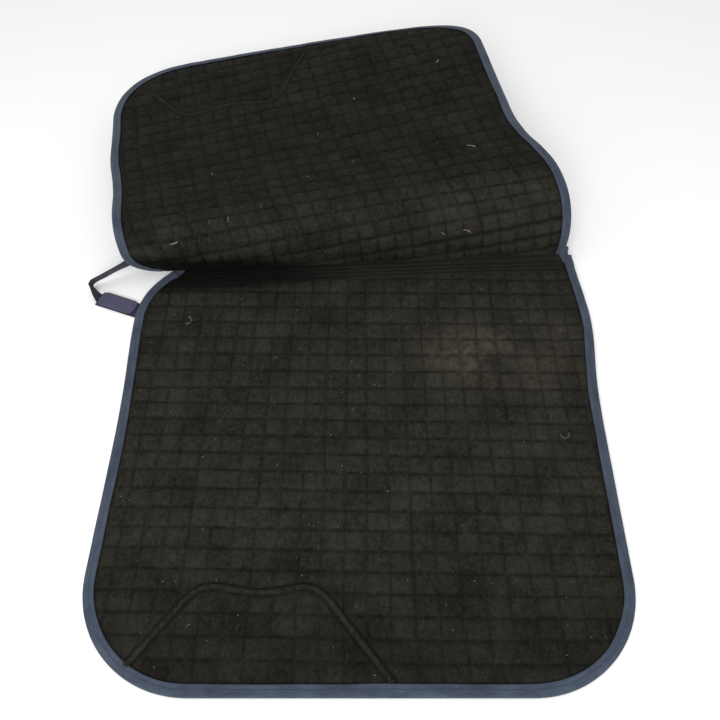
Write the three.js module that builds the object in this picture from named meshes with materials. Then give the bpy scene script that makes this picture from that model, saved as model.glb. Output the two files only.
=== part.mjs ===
// A quilted English saddle pad, opened out with its lining (the horse's side) up.
// Millimetres, +Z up. The origin is the middle of the spine, on the ground under the outer
// spine tape. The near panel lies flat towards -Y. The far panel rises behind the spine as a
// springy roll and runs away towards +Y. The pad's front (the withers end) is at -X.
import * as THREE from "three";

// ---- driving dimensions -------------------------------------------------------------------

const dropLength = 589; // from the spine to the lower edge of a panel
const frontEdge = -327.5; // straight front edge of a panel, along the spine from its middle
const frontFlare = 8.5; // the front edge swells by this much below the rounded shoulder
const frontFlareSpread = 110;
const rearEdge = 291; // straight rear edge
const rearFlare = 10.5; // the rear edge swells by this much near the spine
const rearFlareDepth = 95;
const rearFlareSpread = 82;
const frontCornerRadius = 132; // lower corners
const rearCornerRadius = 125;
const nearShoulder = { radius: 111, centreDepth: 87 }; // the front edge turns in to the withers
const farShoulder = { radius: 75, centreDepth: 110 };
const farShift = -12; // the far panel lies this much further forward
const spineSlant = THREE.MathUtils.degToRad(3); // the spine against the quilting rows
const farSlant = THREE.MathUtils.degToRad(5.5); // the same on the far panel, as it lies
const throatX = -288; // front end of the spine
const tapeHalfWidth = 16;
const bindingWidth = 13;
const bindingThickness = 1;
const clearance = 0.3; // between pieces that touch
const hingeGap = 4; // the near panel's layers stop this far short of the far panel's hinge
const webbingWidth = 25;

// Heights of each layer above the ground, from the outer side up to the lining side.
const heights = {
  webbing: [0, 1.2],
  farWebbing: [-1.2, 0],
  spineBase: [0, 2.5],
  outerTrim: [1.5, 2.5],
  shell: [2.8, 3.8],
  wadding: [4.1, 7.6],
  lining: [7.9, 8.9],
  innerTrim: [9.2, 10.2],
  welt: [9.2, 11.6],
};
const liningTop = heights.lining[1];
const layerInset = bindingThickness + 2 * clearance;

// The far panel's two edge profiles: the slope of the lining, in degrees, at each length along
// the panel from its hinge beside the spine tape. Between two entries the slope changes evenly,
// so the profile is a chain of tangent arcs.
const frontProfile = [
  [0, 125], [40, 105], [80, 55], [120, 0], [160, -17], [210, -15], [270, -9], [350, -7],
  [450, 0], [600, -18],
];
const rearProfile = [
  [0, 100], [40, 88], [80, 55], [120, 27], [160, 5], [210, -12], [270, 1], [350, 2],
  [450, 4], [600, -33],
];
// The far panel also swings in its own plane, in degrees, against the spine.
const swing = [
  [0, -7], [140, -6], [180, -10], [260, -10], [300, -2], [600, -2],
];
const crestLength = 140; // where the far panel bends, along the panel from its hinge

// ---- outline of a panel -------------------------------------------------------------------
// x runs along the quilting rows, d is the depth below the spine's middle along the columns.
// A station is a point of the outline with the direction that leads into the panel, and how
// much longer the way in is where it runs along a slanted cut.

function station(x, depth, inX, inDepth) {
  const size = Math.hypot(inX, inDepth);
  return { x, depth, inX: inX / size, inDepth: inDepth / size, stretch: 1 };
}

// The rounded shoulder, then the straight edge with its slight swelling.
function frontX(depth, { radius, centreDepth }) {
  const fromShoulder = depth - centreDepth;
  if (fromShoulder < 0) {
    const centreX = frontEdge - frontFlare + radius;
    return centreX - Math.sqrt(radius ** 2 - fromShoulder ** 2);
  }
  return frontEdge - frontFlare * Math.exp(-((fromShoulder / frontFlareSpread) ** 2));
}

function rearX(depth) {
  return rearEdge + rearFlare * Math.exp(-(((depth - rearFlareDepth) / rearFlareSpread) ** 2));
}

// Where an edge crosses the line parallel to the spine at this distance.
function crossingDepth(edgeX, away, slant) {
  let depth = depthAt(edgeX(0.8 * away + 60), away, slant);
  for (let i = 0; i < 8; i++) depth = depthAt(edgeX(depth), away, slant);
  return depth;
}

function edgeStation(edgeX, depth, inward) {
  const slope = (edgeX(depth + 0.2) - edgeX(depth - 0.2)) / 0.4;
  return station(edgeX(depth), depth, inward, -inward * slope);
}

// A station at a cut: it leads in along the cut line.
function cutStation(edgeX, depth, inward, slant) {
  const square = edgeStation(edgeX, depth, inward);
  const inX = inward * Math.cos(slant);
  const inDepth = -inward * Math.sin(slant);
  const share = square.inX * inX + square.inDepth * inDepth;
  return { ...square, inX, inDepth, stretch: 1 / share };
}

// Depths from one to another: close together round the shoulder, wider below it.
function stationDepths(fromDepth, toDepth, shoulder, step) {
  const bend = THREE.MathUtils.clamp(shoulder.centreDepth, fromDepth, toDepth);
  const roundCount = Math.ceil((bend - fromDepth) / 6);
  const straightCount = Math.ceil((toDepth - bend) / step);
  const depths = [fromDepth];
  for (let i = 1; i <= roundCount; i++) {
    depths.push(fromDepth + (i / roundCount) * (bend - fromDepth));
  }
  for (let i = 1; i <= straightCount; i++) {
    depths.push(bend + (i / straightCount) * (toDepth - bend));
  }
  return depths;
}

function cornerStations(side, radius, steps) {
  const inward = side === "front" ? 1 : -1;
  const centreX = (side === "front" ? frontEdge : rearEdge) + inward * radius;
  return Array.from({ length: steps }, (_, i) => {
    const angle = ((i + 1) / steps) * (Math.PI / 2);
    const x = centreX - inward * radius * Math.cos(angle);
    const depth = dropLength - radius + radius * Math.sin(angle);
    return station(x, depth, centreX - x, dropLength - radius - depth);
  });
}

// Front and rear stations between two lines parallel to the spine, or down to the lower edge.
// The rear has as many as the front, so that rows can join them.
function edges({ from, to, step, slant, shoulder }) {
  const cornerSteps = 9;
  const whole = to === undefined;
  const frontEdgeX = (depth) => frontX(depth, shoulder);
  const frontFrom = crossingDepth(frontEdgeX, from, slant);
  const rearFrom = crossingDepth(rearX, from, slant);
  const frontTo = whole ? dropLength - frontCornerRadius : crossingDepth(frontEdgeX, to, slant);
  const rearTo = whole ? dropLength - rearCornerRadius : crossingDepth(rearX, to, slant);
  const depths = stationDepths(frontFrom, frontTo, shoulder, step);
  const last = depths.length - 1;
  const line = (edgeX, inward, depth, i) => {
    const cut = i === 0 || (i === last && !whole);
    return cut ? cutStation(edgeX, depth, inward, slant) : edgeStation(edgeX, depth, inward);
  };
  const front = depths.map((depth, i) => line(frontEdgeX, 1, depth, i));
  const rear = depths.map((_, i) => {
    return line(rearX, -1, rearFrom + (i / last) * (rearTo - rearFrom), i);
  });
  if (!whole) return { front, rear };
  return {
    front: [...front, ...cornerStations("front", frontCornerRadius, cornerSteps)],
    rear: [...rear, ...cornerStations("rear", rearCornerRadius, cornerSteps)],
  };
}

function insetPoint({ x, depth, inX, inDepth, stretch }, distance) {
  return [x + inX * distance * stretch, depth + inDepth * distance * stretch];
}

// ---- where a panel lies -------------------------------------------------------------------

// A far-panel point as a place along the spine and a distance away from it.
function spineCoordinates(x, depth) {
  return {
    along: x * Math.cos(farSlant) - depth * Math.sin(farSlant),
    away: x * Math.sin(farSlant) + depth * Math.cos(farSlant),
  };
}

// The depth at which the line parallel to the spine at this distance crosses x.
function depthAt(x, away, slant) {
  return (away - x * Math.sin(slant)) / Math.cos(slant);
}

const alongSpine = new THREE.Vector3(Math.cos(spineSlant), Math.sin(spineSlant), 0);
const acrossSpine = new THREE.Vector3(-Math.sin(spineSlant), Math.cos(spineSlant), 0);
const up = new THREE.Vector3(0, 0, 1);

function nearPlace(x, depth, height) {
  return new THREE.Vector3(x, -depth, height);
}

function knotValue(knots, at) {
  const last = knots.length - 1;
  if (at <= knots[0][0]) return knots[0][1];
  if (at >= knots[last][0]) return knots[last][1];
  const i = knots.findIndex((knot) => knot[0] > at) - 1;
  const share = (at - knots[i][0]) / (knots[i + 1][0] - knots[i][0]);
  return knots[i][1] + share * (knots[i + 1][1] - knots[i][1]);
}

// Adds up a profile's run, sideways drift and rise in short steps along its length.
const profileStep = 2;
function walkProfile(knots) {
  const points = [{ run: 0, drift: 0, rise: 0 }];
  for (let at = 0; at < 700; at += profileStep) {
    const slope = THREE.MathUtils.degToRad(knotValue(knots, at + profileStep / 2));
    const turn = THREE.MathUtils.degToRad(knotValue(swing, at + profileStep / 2));
    const before = points[points.length - 1];
    points.push({
      run: before.run + profileStep * Math.cos(slope) * Math.cos(turn),
      drift: before.drift + profileStep * Math.cos(slope) * Math.sin(turn),
      rise: before.rise + profileStep * Math.sin(slope),
    });
  }
  return points;
}

const frontWalk = walkProfile(frontProfile);
const rearWalk = walkProfile(rearProfile);

function walkAt(walk, at) {
  const place = Math.max(0, at) / profileStep;
  const i = Math.min(walk.length - 2, Math.floor(place));
  const share = place - i;
  const mix = (key) => walk[i][key] + share * (walk[i + 1][key] - walk[i][key]);
  return { run: mix("run"), drift: mix("drift"), rise: mix("rise") };
}

// A point of the far panel's lining surface: "along" the spine, "at" a length from the hinge.
function liningPoint(along, at) {
  const share = (along - frontEdge) / (rearEdge - frontEdge);
  const front = walkAt(frontWalk, at);
  const rear = walkAt(rearWalk, at);
  const mix = (key) => front[key] + share * (rear[key] - front[key]);
  const point = alongSpine.clone().multiplyScalar(farShift + along + mix("drift"));
  point.addScaledVector(acrossSpine, tapeHalfWidth + mix("run"));
  return point.addScaledVector(up, liningTop + mix("rise"));
}

function farPlace(x, depth, height) {
  const { along, away } = spineCoordinates(x, depth);
  const at = away - tapeHalfWidth;
  const probe = 1.5;
  const point = liningPoint(along, at);
  const acrossStep = liningPoint(along + probe, at).sub(liningPoint(along - probe, at));
  const lengthStep = liningPoint(along, Math.max(0, at) + probe)
    .sub(liningPoint(along, Math.max(0, at - probe)));
  const normal = acrossStep.cross(lengthStep).normalize();
  return point.addScaledVector(normal, height - liningTop);
}

// ---- solids -------------------------------------------------------------------------------

function meshFrom(name, material, points, faces) {
  const geometry = new THREE.BufferGeometry();
  const flat = points.flatMap((point) => [point.x, point.y, point.z]);
  geometry.setAttribute("position", new THREE.Float32BufferAttribute(flat, 3));
  geometry.setIndex(faces.flat());
  geometry.computeVertexNormals();
  const mesh = new THREE.Mesh(geometry, material);
  mesh.name = name;
  return mesh;
}

// A closed sheet from a grid of panel points, lying between two heights. The rows run away
// from the spine and each row runs from front to rear. Mirrored is true where the grid's
// sense is turned over, as on the near panel.
function sheet(name, material, grid, [low, high], place, mirrored) {
  const rows = grid.length;
  const columns = grid[0].length;
  const points = [];
  for (const height of [low, high]) {
    for (const row of grid) {
      for (const [x, depth] of row) points.push(place(x, depth, height));
    }
  }
  const top = rows * columns;
  const faces = [];
  const quad = (a, b, c, d) => {
    faces.push(mirrored ? [a, c, b] : [a, b, c]);
    faces.push(mirrored ? [a, d, c] : [a, c, d]);
  };
  const index = (row, column) => row * columns + column;
  for (let row = 0; row < rows - 1; row++) {
    for (let column = 0; column < columns - 1; column++) {
      const a = index(row, column);
      const b = index(row, column + 1);
      const c = index(row + 1, column + 1);
      const d = index(row + 1, column);
      quad(top + a, top + b, top + c, top + d);
      quad(a, d, c, b);
    }
  }
  const rim = [];
  for (let column = 0; column < columns; column++) rim.push(index(0, column));
  for (let row = 1; row < rows; row++) rim.push(index(row, columns - 1));
  for (let column = columns - 2; column >= 0; column--) rim.push(index(rows - 1, column));
  for (let row = rows - 2; row > 0; row--) rim.push(index(row, 0));
  rim.forEach((a, i) => {
    const b = rim[(i + 1) % rim.length];
    quad(a, b, top + b, top + a);
  });
  return meshFrom(name, material, points, faces);
}

// Shares of a row from front to rear, with a narrow column under the binding at each end.
function columnShares(columns) {
  const edgeShare = (bindingWidth + 4) / (rearEdge - frontEdge);
  const shares = [0];
  for (let i = 0; i <= columns; i++) shares.push(edgeShare + (i / columns) * (1 - 2 * edgeShare));
  shares.push(1);
  return shares;
}

// The grid of a panel's layer: a row from each front station to its rear one, kept inside the
// binding.
function layerGrid({ front, rear }, columns) {
  return front.map((frontStation, row) => {
    const [fromX, fromDepth] = insetPoint(frontStation, layerInset);
    const [toX, toDepth] = insetPoint(rear[row], layerInset);
    return columnShares(columns).map((share) => [
      fromX + share * (toX - fromX),
      fromDepth + share * (toDepth - fromDepth),
    ]);
  });
}

// The outline of a whole panel, round its lower edge from the front to the rear.
function panelOutline({ front, rear }, columns) {
  const from = front[front.length - 1].x;
  const to = rear[rear.length - 1].x;
  const lower = columnShares(columns).slice(1, -1)
    .map((share) => station(from + share * (to - from), dropLength, 0, -1));
  return [...front, ...lower, ...rear.slice().reverse()];
}

// A strip that wraps the panel's edge: a C of binding tape, swept along the stations.
function bindingStrip(name, material, stations, place, mirrored) {
  const [low, high] = [heights.outerTrim[0], heights.innerTrim[1]];
  const section = [
    [0, low], [bindingWidth, low], [bindingWidth, low + bindingThickness],
    [bindingThickness, low + bindingThickness], [bindingThickness, high - bindingThickness],
    [bindingWidth, high - bindingThickness], [bindingWidth, high], [0, high],
  ];
  return sweep(name, material, stations, section, place, mirrored);
}

// Sweeps a section of (inward distance, height) points along panel stations.
function sweep(name, material, stations, section, place, mirrored) {
  const points = [];
  const count = stations.length;
  for (const stationPoint of stations) {
    for (const [distance, height] of section) {
      const [x, depth] = insetPoint(stationPoint, distance);
      points.push(place(x, depth, height));
    }
  }
  const sides = section.length;
  const faces = [];
  const push = (a, b, c) => faces.push(mirrored ? [a, c, b] : [a, b, c]);
  for (let i = 0; i < count - 1; i++) {
    for (let j = 0; j < sides; j++) {
      const a = i * sides + j;
      const b = i * sides + ((j + 1) % sides);
      push(a, b + sides, b);
      push(a, a + sides, b + sides);
    }
  }
  const outline = section.map(([distance, height]) => new THREE.Vector2(distance, height));
  const last = (count - 1) * sides;
  for (const [a, b, c] of THREE.ShapeUtils.triangulateShape(outline, [])) {
    push(a, b, c);
    push(last + a, last + c, last + b);
  }
  return meshFrom(name, material, points, faces);
}

// ---- the girth patch and its raised welt --------------------------------------------------

// The welts' corners in panel coordinates: front foot, front corner, dip, rear corner and rear
// foot. The flap's welt is sewn a little higher up its panel.
const nearWeltCorners = [[-259, 551], [-196, 468], [-125, 481], [-66, 468], [16, 571]];
const flapWeltCorners = [[-273, 526], [-207, 421], [-136, 438], [-62, 415], [4, 542]];
const weltCornerRound = 24;

// Points along a welt: straight runs joined by rounded corners.
function weltPath(weltCorners) {
  const corners = weltCorners.map(([x, depth]) => new THREE.Vector2(x, depth));
  const path = new THREE.CurvePath();
  let from = corners[0];
  for (let i = 1; i < corners.length - 1; i++) {
    const into = corners[i - 1].clone().sub(corners[i]).setLength(weltCornerRound);
    const out = corners[i + 1].clone().sub(corners[i]).setLength(weltCornerRound);
    const start = corners[i].clone().add(into);
    const end = corners[i].clone().add(out);
    path.add(new THREE.LineCurve(from, start));
    path.add(new THREE.QuadraticBezierCurve(start, corners[i], end));
    from = end;
  }
  path.add(new THREE.LineCurve(from, corners[corners.length - 1]));
  return path.getSpacedPoints(26);
}

function weltStations(weltCorners) {
  const points = weltPath(weltCorners);
  return points.map((point, i) => {
    const before = points[Math.max(0, i - 1)];
    const after = points[Math.min(points.length - 1, i + 1)];
    return station(point.x, point.y, after.y - before.y, before.x - after.x);
  });
}

function weltStrip(name, material, weltCorners, place, mirrored) {
  const [low, high] = heights.welt;
  const half = 4;
  const section = [[-half, low], [half, low], [half * 0.5, high], [-half * 0.5, high]];
  return sweep(name, material, weltStations(weltCorners), section, place, mirrored);
}

// The patch fills the shape under the welt, down to the binding.
function girthPatch(name, material, weltCorners, place, mirrored) {
  const bindingInset = bindingWidth + 1.2;
  const lowest = (x) => {
    const centre = frontEdge + frontCornerRadius;
    const fromCentre = Math.min(0, x - centre);
    const radius = frontCornerRadius - bindingInset;
    const drop = dropLength - frontCornerRadius;
    return drop + Math.sqrt(Math.max(0, radius ** 2 - fromCentre ** 2));
  };
  const top = weltPath(weltCorners).filter(({ x, y }) => lowest(x) - y > 6);
  const grid = [0, 0.25, 0.5, 0.75, 1].map((share) =>
    top.map(({ x, y }) => [x, y + share * (lowest(x) - y)]));
  return sheet(name, material, grid, heights.outerTrim, place, mirrored);
}

// A flat strip of webbing on the outer side, with its middle free for the girth.
const keeperCentre = [-122, 536];
const keeperLength = 130;
function girthKeeper(name, material, layer, place, mirrored) {
  const steps = 6;
  const grid = [-0.5, 0.5].map((across) =>
    Array.from({ length: steps + 1 }, (_, i) => [
      keeperCentre[0] + keeperLength * (i / steps - 0.5),
      keeperCentre[1] + webbingWidth * across,
    ]));
  return sheet(name, material, grid, layer, place, mirrored);
}

// ---- the spine tapes ----------------------------------------------------------------------

// The tape on the lining side is pleated into four low ribs.
function spineTape(name, material, profile, fromAlong, toAlong) {
  const shape = new THREE.Shape(profile.map(([across, height]) => {
    return new THREE.Vector2(across, height);
  }));
  const geometry = new THREE.ExtrudeGeometry(shape, {
    depth: toAlong - fromAlong, steps: 1, bevelEnabled: false,
  });
  const basis = new THREE.Matrix4().makeBasis(acrossSpine, up, alongSpine);
  geometry.applyMatrix4(basis);
  geometry.translate(alongSpine.x * fromAlong, alongSpine.y * fromAlong, 0);
  const mesh = new THREE.Mesh(geometry, material);
  mesh.name = name;
  return mesh;
}

function ribbedProfile() {
  const [low, high] = heights.innerTrim;
  const ribs = 4;
  const half = tapeHalfWidth - 2;
  const pitch = (2 * half) / ribs;
  const points = [[half, low], [-half, low]];
  for (let rib = 0; rib < ribs; rib++) {
    const start = -half + rib * pitch;
    points.push([start, high], [start + pitch * 0.35, high + 1], [start + pitch * 0.75, high + 1]);
  }
  points.push([half, high]);
  return points.reverse();
}

function flatProfile() {
  const [low, high] = heights.spineBase;
  const half = tapeHalfWidth - 2;
  return [[-half, low], [half, low], [half, high], [-half, high]];
}

// ---- the front strap ----------------------------------------------------------------------

// The strap closes the front of the pad. Its tab lies on the near webbing, in this direction.
const tabEnd = new THREE.Vector3(-340, -67, 0);
const tabDirection = new THREE.Vector3(-0.934, 0.357, 0).normalize();
const tabLength = 60;
const tabStack = {
  hook: [1.5, 2.3],
  webbing: [2.6, 3.8],
  loop: [4.1, 5.1],
};

// A band of webbing through stations, each with a middle point and a width direction.
function webbingBar(name, material, stations, thickness) {
  const points = [];
  stations.forEach(({ at, width }, i) => {
    const before = stations[Math.max(0, i - 1)].at;
    const after = stations[Math.min(stations.length - 1, i + 1)].at;
    const direction = after.clone().sub(before).normalize();
    const across = width.clone().addScaledVector(direction, -width.dot(direction)).normalize();
    const normal = direction.clone().cross(across);
    for (const [u, v] of [[-1, -1], [1, -1], [1, 1], [-1, 1]]) {
      points.push(at.clone()
        .addScaledVector(across, u * (webbingWidth / 2))
        .addScaledVector(normal, v * (thickness / 2)));
    }
  });
  const faces = [[0, 2, 1], [0, 3, 2]];
  const end = 4 * (stations.length - 1);
  faces.push([end, end + 1, end + 2], [end, end + 2, end + 3]);
  for (let i = 0; i < stations.length - 1; i++) {
    for (let j = 0; j < 4; j++) {
      const a = 4 * i + j;
      const b = 4 * i + ((j + 1) % 4);
      faces.push([a, b, b + 4], [a, b + 4, a + 4]);
    }
  }
  return meshFrom(name, material, points, faces);
}

// A flat piece of the tab with both ends rounded, from one distance along it to another.
function tabPiece(name, material, from, to, width, [low, high]) {
  const shape = new THREE.Shape();
  const half = width / 2;
  const round = width * 0.3;
  shape.moveTo(from + round, -half);
  shape.lineTo(to - round, -half);
  shape.quadraticCurveTo(to, -half, to, 0);
  shape.quadraticCurveTo(to, half, to - round, half);
  shape.lineTo(from + round, half);
  shape.quadraticCurveTo(from, half, from, 0);
  shape.quadraticCurveTo(from, -half, from + round, -half);
  const geometry = new THREE.ExtrudeGeometry(shape, {
    depth: high - low, bevelEnabled: false, curveSegments: 6,
  });
  geometry.rotateZ(Math.atan2(tabDirection.y, tabDirection.x));
  geometry.translate(tabEnd.x, tabEnd.y, low);
  const mesh = new THREE.Mesh(geometry, material);
  mesh.name = name;
  return mesh;
}

function tabPoint(distance, height) {
  return tabEnd.clone().addScaledVector(tabDirection, distance).setZ(height);
}

// The free length of the strap: it rises off the tab's outer end, turns back and climbs to
// the far panel's front edge, twisting so that it stands nearly on edge.
function freeStrapStations() {
  const flat = new THREE.Vector3(0.357, 0.934, 0);
  const onEdge = new THREE.Vector3(-0.25, 0.6, -0.76);
  const places = [
    [tabPoint(tabLength + 0.4, 1.6), 0], [tabPoint(tabLength + 7, 3.5), 0.1],
    [new THREE.Vector3(-410, -36, 10), 0.45], [new THREE.Vector3(-407, -29, 15), 0.8],
    [new THREE.Vector3(-392, -20, 20), 1], [new THREE.Vector3(-370, -6, 26), 1],
  ];
  return places.map(([at, turn]) => ({ at, width: flat.clone().lerp(onEdge, turn).normalize() }));
}

// Where the strap is sewn on, behind the far panel's front binding.
const anchorDepth = 84;
const anchorLength = 38;
function strapAnchor(name, material) {
  const front = frontX(anchorDepth, farShoulder) + 2;
  const grid = [-0.5, 0, 0.5].map((across) =>
    [0, 0.5, 1].map((share) => [front + share * anchorLength, anchorDepth + webbingWidth * across]));
  return sheet(name, material, grid, heights.farWebbing, farPlace, false);
}

// ---- materials ----------------------------------------------------------------------------

const blackCotton = new THREE.MeshStandardMaterial({ color: 0x1b1916, roughness: 1 });
const whiteWadding = new THREE.MeshStandardMaterial({ color: 0xd8d5cc, roughness: 1 });
const navyShell = new THREE.MeshStandardMaterial({ color: 0x232c45, roughness: 0.95 });
const navyBinding = new THREE.MeshStandardMaterial({ color: 0x2b3a5c, roughness: 0.85 });
const navyWebbing = new THREE.MeshStandardMaterial({ color: 0x262842, roughness: 0.9 });
const loopPile = new THREE.MeshStandardMaterial({ color: 0x3a3858, roughness: 1 });
const hookTape = new THREE.MeshStandardMaterial({ color: 0x1e1f33, roughness: 0.7 });

// ---- assembly -----------------------------------------------------------------------------

const pad = new THREE.Group();
const layerMaterials = [["lining", blackCotton], ["wadding", whiteWadding], ["shell", navyShell]];

// The near panel, its layers running on under the spine tape to the far panel's hinge.
function addNearPanel() {
  const edge = edges({
    from: hingeGap - tapeHalfWidth, step: 60, slant: spineSlant, shoulder: nearShoulder,
  });
  const columns = 1;
  const grid = layerGrid(edge, columns);
  for (const [layer, material] of layerMaterials) {
    pad.add(sheet(`near_${layer}`, material, grid, heights[layer], nearPlace, true));
  }
  const outline = panelOutline(edge, columns);
  pad.add(bindingStrip("near_binding", navyBinding, outline, nearPlace, true));
  pad.add(weltStrip("near_welt", blackCotton, nearWeltCorners, nearPlace, true));
  pad.add(girthPatch("near_girth_patch", navyShell, nearWeltCorners, nearPlace, true));
  pad.add(girthKeeper("near_girth_keeper", navyWebbing, heights.webbing, nearPlace, true));
}

// The far panel, cut where it bends: the roll's face, and the flap beyond its crest.
function addFarPanel() {
  const crest = tapeHalfWidth + crestLength;
  const start = tapeHalfWidth + clearance;
  const halfGap = clearance / 2;
  const roll = edges({
    from: start, to: crest - halfGap, step: 10, slant: farSlant, shoulder: farShoulder,
  });
  const flap = edges({
    from: crest + halfGap, step: 22, slant: farSlant, shoulder: farShoulder,
  });
  const columns = 6;
  const rollGrid = layerGrid(roll, columns);
  const flapGrid = layerGrid(flap, columns);
  for (const [layer, material] of layerMaterials) {
    pad.add(sheet(`roll_${layer}`, material, rollGrid, heights[layer], farPlace, false));
    pad.add(sheet(`flap_${layer}`, material, flapGrid, heights[layer], farPlace, false));
  }
  const rollRear = roll.rear.reverse();
  pad.add(bindingStrip("roll_front_binding", navyBinding, roll.front, farPlace, false));
  pad.add(bindingStrip("roll_rear_binding", navyBinding, rollRear, farPlace, false));
  const flapEdge = panelOutline(flap, columns);
  pad.add(bindingStrip("flap_binding", navyBinding, flapEdge, farPlace, false));
  pad.add(weltStrip("flap_welt", blackCotton, flapWeltCorners, farPlace, false));
  pad.add(girthPatch("flap_girth_patch", navyShell, flapWeltCorners, farPlace, false));
  const farLayer = heights.farWebbing;
  pad.add(girthKeeper("flap_girth_keeper", navyWebbing, farLayer, farPlace, false));
}

// The tapes end against the binding at each end of the spine.
function addSpine() {
  const tapeFront = throatX + bindingWidth + 8;
  const tapeRear = rearEdge + farShift - bindingWidth - 2;
  pad.add(spineTape("spine_tape", blackCotton, ribbedProfile(), tapeFront, tapeRear));
  pad.add(spineTape("outer_spine_tape", navyShell, flatProfile(), tapeFront, tapeRear));
}

function addStrap() {
  const sewnLength = 62;
  const tabOuter = tabLength - 3;
  const thickness = 1.2;
  const flatWidth = new THREE.Vector3(0.357, 0.934, 0);
  const middle = (heights.webbing[0] + heights.webbing[1]) / 2;
  const nearStations = [-sewnLength, 0, tabLength]
    .map((distance) => ({ at: tabPoint(distance, middle), width: flatWidth }));
  pad.add(webbingBar("near_strap_webbing", navyWebbing, nearStations, thickness));
  pad.add(webbingBar("far_strap_webbing", navyWebbing, freeStrapStations(), thickness));
  pad.add(strapAnchor("far_strap_anchor", navyWebbing));
  pad.add(tabPiece("hook_tape", hookTape, 3, tabOuter - 2, webbingWidth - 3, tabStack.hook));
  pad.add(tabPiece("strap_tab", navyWebbing, 0, tabOuter, webbingWidth, tabStack.webbing));
  pad.add(tabPiece("loop_tape", loopPile, 0, tabOuter, webbingWidth, tabStack.loop));
}

addNearPanel();
addFarPanel();
addSpine();
addStrap();

export default pad;
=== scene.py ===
"""A quilted saddle pad, opened out with its black lining up.

Panel coordinates are millimetres: x runs along the quilting rows from front to rear, depth
runs from the spine towards a panel's lower edge, and height is above the outer side. The
near panel lies flat; the far panel rises behind the spine as a roll and lies back.
"""

import math

import bpy
import numpy as np
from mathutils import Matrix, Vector


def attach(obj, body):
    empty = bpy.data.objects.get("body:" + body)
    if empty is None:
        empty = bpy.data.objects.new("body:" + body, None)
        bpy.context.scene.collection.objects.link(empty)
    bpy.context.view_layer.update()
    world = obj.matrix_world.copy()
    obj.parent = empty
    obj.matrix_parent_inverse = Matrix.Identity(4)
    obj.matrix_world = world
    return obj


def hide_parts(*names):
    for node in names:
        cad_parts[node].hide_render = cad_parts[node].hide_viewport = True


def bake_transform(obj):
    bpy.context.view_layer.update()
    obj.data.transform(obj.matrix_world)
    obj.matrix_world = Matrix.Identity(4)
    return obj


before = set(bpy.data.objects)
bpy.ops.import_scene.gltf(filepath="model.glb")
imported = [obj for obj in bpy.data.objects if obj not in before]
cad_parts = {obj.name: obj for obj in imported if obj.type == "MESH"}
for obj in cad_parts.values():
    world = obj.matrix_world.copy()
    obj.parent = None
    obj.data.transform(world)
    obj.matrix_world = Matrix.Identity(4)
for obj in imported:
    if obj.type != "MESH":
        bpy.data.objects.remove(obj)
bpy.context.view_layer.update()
MM = 0.001

# ---- driving dimensions, the same as the CAD model's ---------------------------------------

DROP = 589.0
FRONT_EDGE = -327.5
FRONT_FLARE = 8.5
FRONT_FLARE_SPREAD = 110.0
REAR_EDGE = 291.0
REAR_FLARE = 10.5
REAR_FLARE_DEPTH = 95.0
REAR_FLARE_SPREAD = 82.0
FRONT_CORNER = 132.0
REAR_CORNER = 125.0
NEAR_SHOULDER = (111.0, 87.0)  # radius, depth of its centre
FAR_SHOULDER = (75.0, 110.0)
FAR_SHIFT = -12.0  # how far the far panel sits towards the front
NEAR_SLANT = math.radians(3.0)
FAR_SLANT = math.radians(5.5)
TAPE_HALF = 16.0
LINING_TOP = 8.9  # height of the lining's upper face
SHELL_LOW = 2.8  # height of the shell's lower face
BINDING_WIDTH = 13.0
STITCH = 25.4  # side of a quilting square
SPINE_SLOPE = 0.0523  # how far the spine climbs per millimetre of x, on the near panel
LINING_STEP = 2.1  # spacing of a lining's mesh
SHELL_STEP = 4.2
SHEET_MARGIN = 14.0  # how far a sheet's grid starts outside the panel's side edges
SHEET_TOP = -34.0  # depth at which a sheet's grid starts

# The far panel along its front and rear edges: length from the hinge, slope in degrees.
FRONT_PROFILE = [
    (0, 125), (40, 105), (80, 55), (120, 0), (160, -17), (210, -15), (270, -9), (350, -7),
    (450, 0), (600, -18),
]
REAR_PROFILE = [
    (0, 100), (40, 88), (80, 55), (120, 27), (160, 5), (210, -12), (270, 1), (350, 2),
    (450, 4), (600, -33),
]
# Length from the hinge, and the panel's turn to the side in degrees.
SWING = [(0, -7), (140, -6), (180, -10), (260, -10), (300, -2), (600, -2)]

ALONG = np.array([math.cos(NEAR_SLANT), math.sin(NEAR_SLANT), 0.0])
ACROSS = np.array([-math.sin(NEAR_SLANT), math.cos(NEAR_SLANT), 0.0])
UP = np.array([0.0, 0.0, 1.0])


# ---- noise -----------------------------------------------------------------------------------

def smooth_noise(x, y, cell, seed):
    """Value noise from -1 to 1, with features about one cell wide."""
    values = np.random.default_rng(seed).uniform(-1, 1, (64, 64))
    u = np.asarray(x) / cell
    v = np.asarray(y) / cell
    column = np.floor(u).astype(int)
    row = np.floor(v).astype(int)
    s = u - column
    t = v - row
    s = s * s * (3 - 2 * s)
    t = t * t * (3 - 2 * t)

    def at(i, j):
        return values[(column + i) % 64, (row + j) % 64]

    low = at(0, 0) * (1 - s) + at(1, 0) * s
    high = at(0, 1) * (1 - s) + at(1, 1) * s
    return low * (1 - t) + high * t


def bump(value, centre, spread):
    """1 at the centre, falling away smoothly over the spread."""
    return np.exp(-(((value - centre) / spread) ** 2))


# ---- outline of a panel ----------------------------------------------------------------------

def front_x(depth, shoulder):
    radius, centre_depth = shoulder
    below = np.maximum(depth - centre_depth, 0)
    straight = FRONT_EDGE - FRONT_FLARE * np.exp(-((below / FRONT_FLARE_SPREAD) ** 2))
    above = np.minimum(depth - centre_depth, 0)
    centre_x = FRONT_EDGE - FRONT_FLARE + radius
    round_x = centre_x - np.sqrt(np.maximum(radius**2 - above**2, 0))
    return np.where(depth < centre_depth, round_x, straight)


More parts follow.
